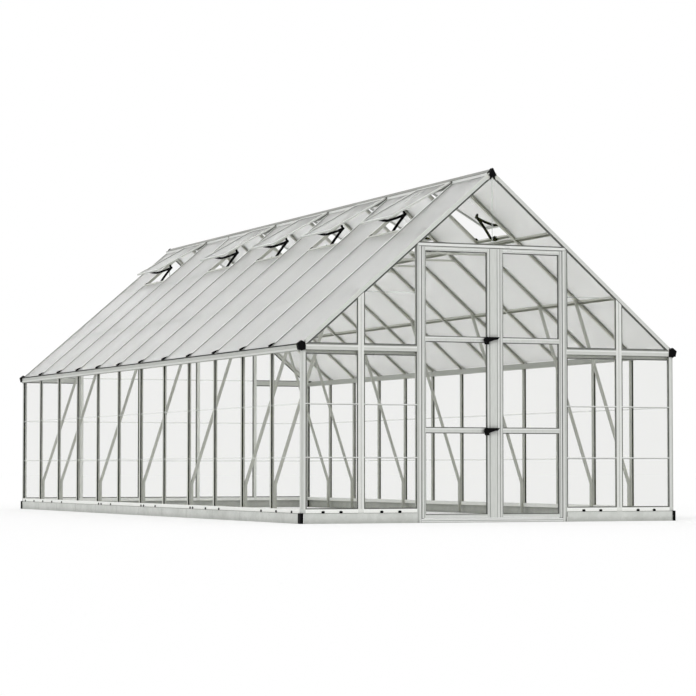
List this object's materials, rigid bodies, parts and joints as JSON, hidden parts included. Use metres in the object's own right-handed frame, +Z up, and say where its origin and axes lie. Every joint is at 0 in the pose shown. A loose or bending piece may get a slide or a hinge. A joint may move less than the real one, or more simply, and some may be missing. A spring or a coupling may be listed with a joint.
{
  "type": "greenhouse",
  "caption": "Long gabled greenhouse: aluminium frame on a steel base, clear walls, twin-wall roof, hinged double doors in one gable and hinged roof vents along the ridge.",
  "frame": {"origin": "on the ground, midway between the side walls and midway between the two gables", "axes": "+X to the right as seen from outside the doors, +Y from the doors' gable towards the back gable, +Z up"},
  "size_m": [3.034, 7.3343, 2.56],
  "materials": {
    "aluminium": "mill finish extrusion, satin",
    "vent_aluminium": "satin frame around a translucent panel",
    "galvanised_steel": "hot-dip galvanised, softly mottled",
    "bright_steel": "zinc plated",
    "clear_panel": "clear, glossy",
    "twin_wall_panel": "translucent twin-wall sheet",
    "strip_plastic": "clear joining strip",
    "black_plastic": "moulded, fine grain",
    "handle_plastic": "moulded, satin"
  },
  "bodies": {
    "house": {"base_rails": "galvanised_steel", "base_caps": "black_plastic", "bottom_rails": "aluminium", "corner_posts": "aluminium", "wall_posts": "aluminium", "gable_posts": "aluminium", "gable_rails": "aluminium", "gutters": "aluminium", "roof_caps": "black_plastic", "rafters": "aluminium", "ridge_beam": "aluminium", "purlins": "aluminium", "collar_ties": "aluminium", "wall_braces": "aluminium", "wall_panels": "clear_panel", "roof_panels": "twin_wall_panel", "gable_panels": "clear_panel", "panel_joint_strips": "strip_plastic", "vent_sills": "aluminium", "stay_brackets": "black_plastic", "door_frame": "aluminium", "door_pivots": "bright_steel"},
    "left_door": {"left_door_frame": "aluminium", "left_door_panels": "clear_panel", "left_door_fittings": "black_plastic"},
    "right_door": {"right_door_frame": "aluminium", "right_door_panels": "clear_panel"},
    "upper_handle": {"upper_door_handle": "handle_plastic"},
    "lower_handle": {"lower_door_handle": "handle_plastic"},
    "bolt": {"drop_bolt": "bright_steel"},
    "vent_left_1": {"vent_sash_left_1": "vent_aluminium"},
    "lower_arm_left_1": {"lower_stay_left_1": "handle_plastic"},
    "upper_arm_left_1": {"upper_stay_left_1": "handle_plastic"},
    "vent_right_1": {"vent_sash_right_1": "vent_aluminium"},
    "lower_arm_right_1": {"lower_stay_right_1": "handle_plastic"},
    "upper_arm_right_1": {"upper_stay_right_1": "handle_plastic"},
    "vent_left_2": {"vent_sash_left_2": "vent_aluminium"},
    "lower_arm_left_2": {"lower_stay_left_2": "handle_plastic"},
    "upper_arm_left_2": {"upper_stay_left_2": "handle_plastic"},
    "vent_right_2": {"vent_sash_right_2": "vent_aluminium"},
    "lower_arm_right_2": {"lower_stay_right_2": "handle_plastic"},
    "upper_arm_right_2": {"upper_stay_right_2": "handle_plastic"},
    "vent_left_3": {"vent_sash_left_3": "vent_aluminium"},
    "lower_arm_left_3": {"lower_stay_left_3": "handle_plastic"},
    "upper_arm_left_3": {"upper_stay_left_3": "handle_plastic"},
    "vent_right_3": {"vent_sash_right_3": "vent_aluminium"},
    "lower_arm_right_3": {"lower_stay_right_3": "handle_plastic"},
    "upper_arm_right_3": {"upper_stay_right_3": "handle_plastic"},
    "vent_left_4": {"vent_sash_left_4": "vent_aluminium"},
    "lower_arm_left_4": {"lower_stay_left_4": "handle_plastic"},
    "upper_arm_left_4": {"upper_stay_left_4": "handle_plastic"},
    "vent_right_4": {"vent_sash_right_4": "vent_aluminium"},
    "lower_arm_right_4": {"lower_stay_right_4": "handle_plastic"},
    "upper_arm_right_4": {"upper_stay_right_4": "handle_plastic"},
    "vent_left_5": {"vent_sash_left_5": "vent_aluminium"},
    "lower_arm_left_5": {"lower_stay_left_5": "handle_plastic"},
    "upper_arm_left_5": {"upper_stay_left_5": "handle_plastic"},
    "vent_right_5": {"vent_sash_right_5": "vent_aluminium"},
    "lower_arm_right_5": {"lower_stay_right_5": "handle_plastic"},
    "upper_arm_right_5": {"upper_stay_right_5": "handle_plastic"}
  },
  "joints": [
    {"name": "left_door_swing", "type": "hinge", "parent": "house", "child": "left_door", "pos_m": [-0.551, -3.6385, 0.994], "axis": [0, 0, -1], "range_deg": [0, 100]},
    {"name": "right_door_swing", "type": "hinge", "parent": "house", "child": "right_door", "pos_m": [0.551, -3.6385, 0.994], "axis": [0, 0, 1], "range_deg": [0, 100]},
    {"name": "upper_handle_turn", "type": "hinge", "parent": "left_door", "child": "upper_handle", "pos_m": [-0.059, -3.669, 1.312], "axis": [0, 1, 0], "range_deg": [0, 45], "stiffness_Nm_per_rad": 0.25, "springref_deg": -17.19},
    {"name": "lower_handle_turn", "type": "hinge", "parent": "left_door", "child": "lower_handle", "pos_m": [-0.059, -3.669, 0.657], "axis": [0, 1, 0], "range_deg": [0, 45], "stiffness_Nm_per_rad": 0.25, "springref_deg": -17.19},
    {"name": "bolt_slide", "type": "slide", "parent": "left_door", "child": "bolt", "axis": [0, 0, 1], "range_m": [-0.03, 0]},
    {"name": "vent_lift_left_1", "type": "hinge", "parent": "house", "child": "vent_left_1", "pos_m": [-0.03683, -2.736, 2.52346], "axis": [0, 1, 0], "range_deg": [-11, 17]},
    {"name": "lower_arm_turn_left_1", "type": "hinge", "parent": "house", "child": "lower_arm_left_1", "pos_m": [-0.41279, -2.761, 2.13867], "axis": [0, 1, 0], "range_deg": [-19.7, 12.9]},
    {"name": "upper_arm_turn_left_1", "type": "hinge", "parent": "vent_left_1", "child": "upper_arm_left_1", "pos_m": [-0.43763, -2.761, 2.2413], "axis": [0, 1, 0], "range_deg": [-13, 19.8]},
    {"name": "vent_lift_right_1", "type": "hinge", "parent": "house", "child": "vent_right_1", "pos_m": [0.03683, -2.736, 2.52346], "axis": [0, -1, 0], "range_deg": [-11, 17]},
    {"name": "lower_arm_turn_right_1", "type": "hinge", "parent": "house", "child": "lower_arm_right_1", "pos_m": [0.41279, -2.761, 2.13867], "axis": [0, -1, 0], "range_deg": [-19.7, 12.9]},
    {"name": "upper_arm_turn_right_1", "type": "hinge", "parent": "vent_right_1", "child": "upper_arm_right_1", "pos_m": [0.43763, -2.761, 2.2413], "axis": [0, -1, 0], "range_deg": [-13, 19.8]},
    {"name": "vent_lift_left_2", "type": "hinge", "parent": "house", "child": "vent_left_2", "pos_m": [-0.03683, -1.52, 2.52346], "axis": [0, 1, 0], "range_deg": [-11, 17]},
    {"name": "lower_arm_turn_left_2", "type": "hinge", "parent": "house", "child": "lower_arm_left_2", "pos_m": [-0.41279, -1.545, 2.13867], "axis": [0, 1, 0], "range_deg": [-19.7, 12.9]},
    {"name": "upper_arm_turn_left_2", "type": "hinge", "parent": "vent_left_2", "child": "upper_arm_left_2", "pos_m": [-0.43763, -1.545, 2.2413], "axis": [0, 1, 0], "range_deg": [-13, 19.8]},
    {"name": "vent_lift_right_2", "type": "hinge", "parent": "house", "child": "vent_right_2", "pos_m": [0.03683, -1.52, 2.52346], "axis": [0, -1, 0], "range_deg": [-11, 17]},
    {"name": "lower_arm_turn_right_2", "type": "hinge", "parent": "house", "child": "lower_arm_right_2", "pos_m": [0.41279, -1.545, 2.13867], "axis": [0, -1, 0], "range_deg": [-19.7, 12.9]},
    {"name": "upper_arm_turn_right_2", "type": "hinge", "parent": "vent_right_2", "child": "upper_arm_right_2", "pos_m": [0.43763, -1.545, 2.2413], "axis": [0, -1, 0], "range_deg": [-13, 19.8]},
    {"name": "vent_lift_left_3", "type": "hinge", "parent": "house", "child": "vent_left_3", "pos_m": [-0.03683, -0.304, 2.52346], "axis": [0, 1, 0], "range_deg": [-11, 17]},
    {"name": "lower_arm_turn_left_3", "type": "hinge", "parent": "house", "child": "lower_arm_left_3", "pos_m": [-0.41279, -0.329, 2.13867], "axis": [0, 1, 0], "range_deg": [-19.7, 12.9]},
    {"name": "upper_arm_turn_left_3", "type": "hinge", "parent": "vent_left_3", "child": "upper_arm_left_3", "pos_m": [-0.43763, -0.329, 2.2413], "axis": [0, 1, 0], "range_deg": [-13, 19.8]},
    {"name": "vent_lift_right_3", "type": "hinge", "parent": "house", "child": "vent_right_3", "pos_m": [0.03683, -0.304, 2.52346], "axis": [0, -1, 0], "range_deg": [-11, 17]},
    {"name": "lower_arm_turn_right_3", "type": "hinge", "parent": "house", "child": "lower_arm_right_3", "pos_m": [0.41279, -0.329, 2.13867], "axis": [0, -1, 0], "range_deg": [-19.7, 12.9]},
    {"name": "upper_arm_turn_right_3", "type": "hinge", "parent": "vent_right_3", "child": "upper_arm_right_3", "pos_m": [0.43763, -0.329, 2.2413], "axis": [0, -1, 0], "range_deg": [-13, 19.8]},
    {"name": "vent_lift_left_4", "type": "hinge", "parent": "house", "child": "vent_left_4", "pos_m": [-0.03683, 0.912, 2.52346], "axis": [0, 1, 0], "range_deg": [-11, 17]},
    {"name": "lower_arm_turn_left_4", "type": "hinge", "parent": "house", "child": "lower_arm_left_4", "pos_m": [-0.41279, 0.887, 2.13867], "axis": [0, 1, 0], "range_deg": [-19.7, 12.9]},
    {"name": "upper_arm_turn_left_4", "type": "hinge", "parent": "vent_left_4", "child": "upper_arm_left_4", "pos_m": [-0.43763, 0.887, 2.2413], "axis": [0, 1, 0], "range_deg": [-13, 19.8]},
    {"name": "vent_lift_right_4", "type": "hinge", "parent": "house", "child": "vent_right_4", "pos_m": [0.03683, 0.912, 2.52346], "axis": [0, -1, 0], "range_deg": [-11, 17]},
    {"name": "lower_arm_turn_right_4", "type": "hinge", "parent": "house", "child": "lower_arm_right_4", "pos_m": [0.41279, 0.887, 2.13867], "axis": [0, -1, 0], "range_deg": [-19.7, 12.9]},
    {"name": "upper_arm_turn_right_4", "type": "hinge", "parent": "vent_right_4", "child": "upper_arm_right_4", "pos_m": [0.43763, 0.887, 2.2413], "axis": [0, -1, 0], "range_deg": [-13, 19.8]},
    {"name": "vent_lift_left_5", "type": "hinge", "parent": "house", "child": "vent_left_5", "pos_m": [-0.03683, 2.736, 2.52346], "axis": [0, 1, 0], "range_deg": [-11, 17]},
    {"name": "lower_arm_turn_left_5", "type": "hinge", "parent": "house", "child": "lower_arm_left_5", "pos_m": [-0.41279, 2.711, 2.13867], "axis": [0, 1, 0], "range_deg": [-19.7, 12.9]},
    {"name": "upper_arm_turn_left_5", "type": "hinge", "parent": "vent_left_5", "child": "upper_arm_left_5", "pos_m": [-0.43763, 2.711, 2.2413], "axis": [0, 1, 0], "range_deg": [-13, 19.8]},
    {"name": "vent_lift_right_5", "type": "hinge", "parent": "house", "child": "vent_right_5", "pos_m": [0.03683, 2.736, 2.52346], "axis": [0, -1, 0], "range_deg": [-11, 17]},
    {"name": "lower_arm_turn_right_5", "type": "hinge", "parent": "house", "child": "lower_arm_right_5", "pos_m": [0.41279, 2.711, 2.13867], "axis": [0, -1, 0], "range_deg": [-19.7, 12.9]},
    {"name": "upper_arm_turn_right_5", "type": "hinge", "parent": "vent_right_5", "child": "upper_arm_right_5", "pos_m": [0.43763, 2.711, 2.2413], "axis": [0, -1, 0], "range_deg": [-13, 19.8]}
  ],
  "couplings": [
    {"joint": "lower_arm_turn_left_1", "follows": "vent_lift_left_1", "ratio": -1.132},
    {"joint": "upper_arm_turn_left_1", "follows": "vent_lift_left_1", "ratio": 1.134},
    {"joint": "lower_arm_turn_right_1", "follows": "vent_lift_right_1", "ratio": -1.132},
    {"joint": "upper_arm_turn_right_1", "follows": "vent_lift_right_1", "ratio": 1.134},
    {"joint": "lower_arm_turn_left_2", "follows": "vent_lift_left_2", "ratio": -1.132},
    {"joint": "upper_arm_turn_left_2", "follows": "vent_lift_left_2", "ratio": 1.134},
    {"joint": "lower_arm_turn_right_2", "follows": "vent_lift_right_2", "ratio": -1.132},
    {"joint": "upper_arm_turn_right_2", "follows": "vent_lift_right_2", "ratio": 1.134},
    {"joint": "lower_arm_turn_left_3", "follows": "vent_lift_left_3", "ratio": -1.132},
    {"joint": "upper_arm_turn_left_3", "follows": "vent_lift_left_3", "ratio": 1.134},
    {"joint": "lower_arm_turn_right_3", "follows": "vent_lift_right_3", "ratio": -1.132},
    {"joint": "upper_arm_turn_right_3", "follows": "vent_lift_right_3", "ratio": 1.134},
    {"joint": "lower_arm_turn_left_4", "follows": "vent_lift_left_4", "ratio": -1.132},
    {"joint": "upper_arm_turn_left_4", "follows": "vent_lift_left_4", "ratio": 1.134},
    {"joint": "lower_arm_turn_right_4", "follows": "vent_lift_right_4", "ratio": -1.132},
    {"joint": "upper_arm_turn_right_4", "follows": "vent_lift_right_4", "ratio": 1.134},
    {"joint": "lower_arm_turn_left_5", "follows": "vent_lift_left_5", "ratio": -1.132},
    {"joint": "upper_arm_turn_left_5", "follows": "vent_lift_left_5", "ratio": 1.134},
    {"joint": "lower_arm_turn_right_5", "follows": "vent_lift_right_5", "ratio": -1.132},
    {"joint": "upper_arm_turn_right_5", "follows": "vent_lift_right_5", "ratio": 1.134}
  ]
}
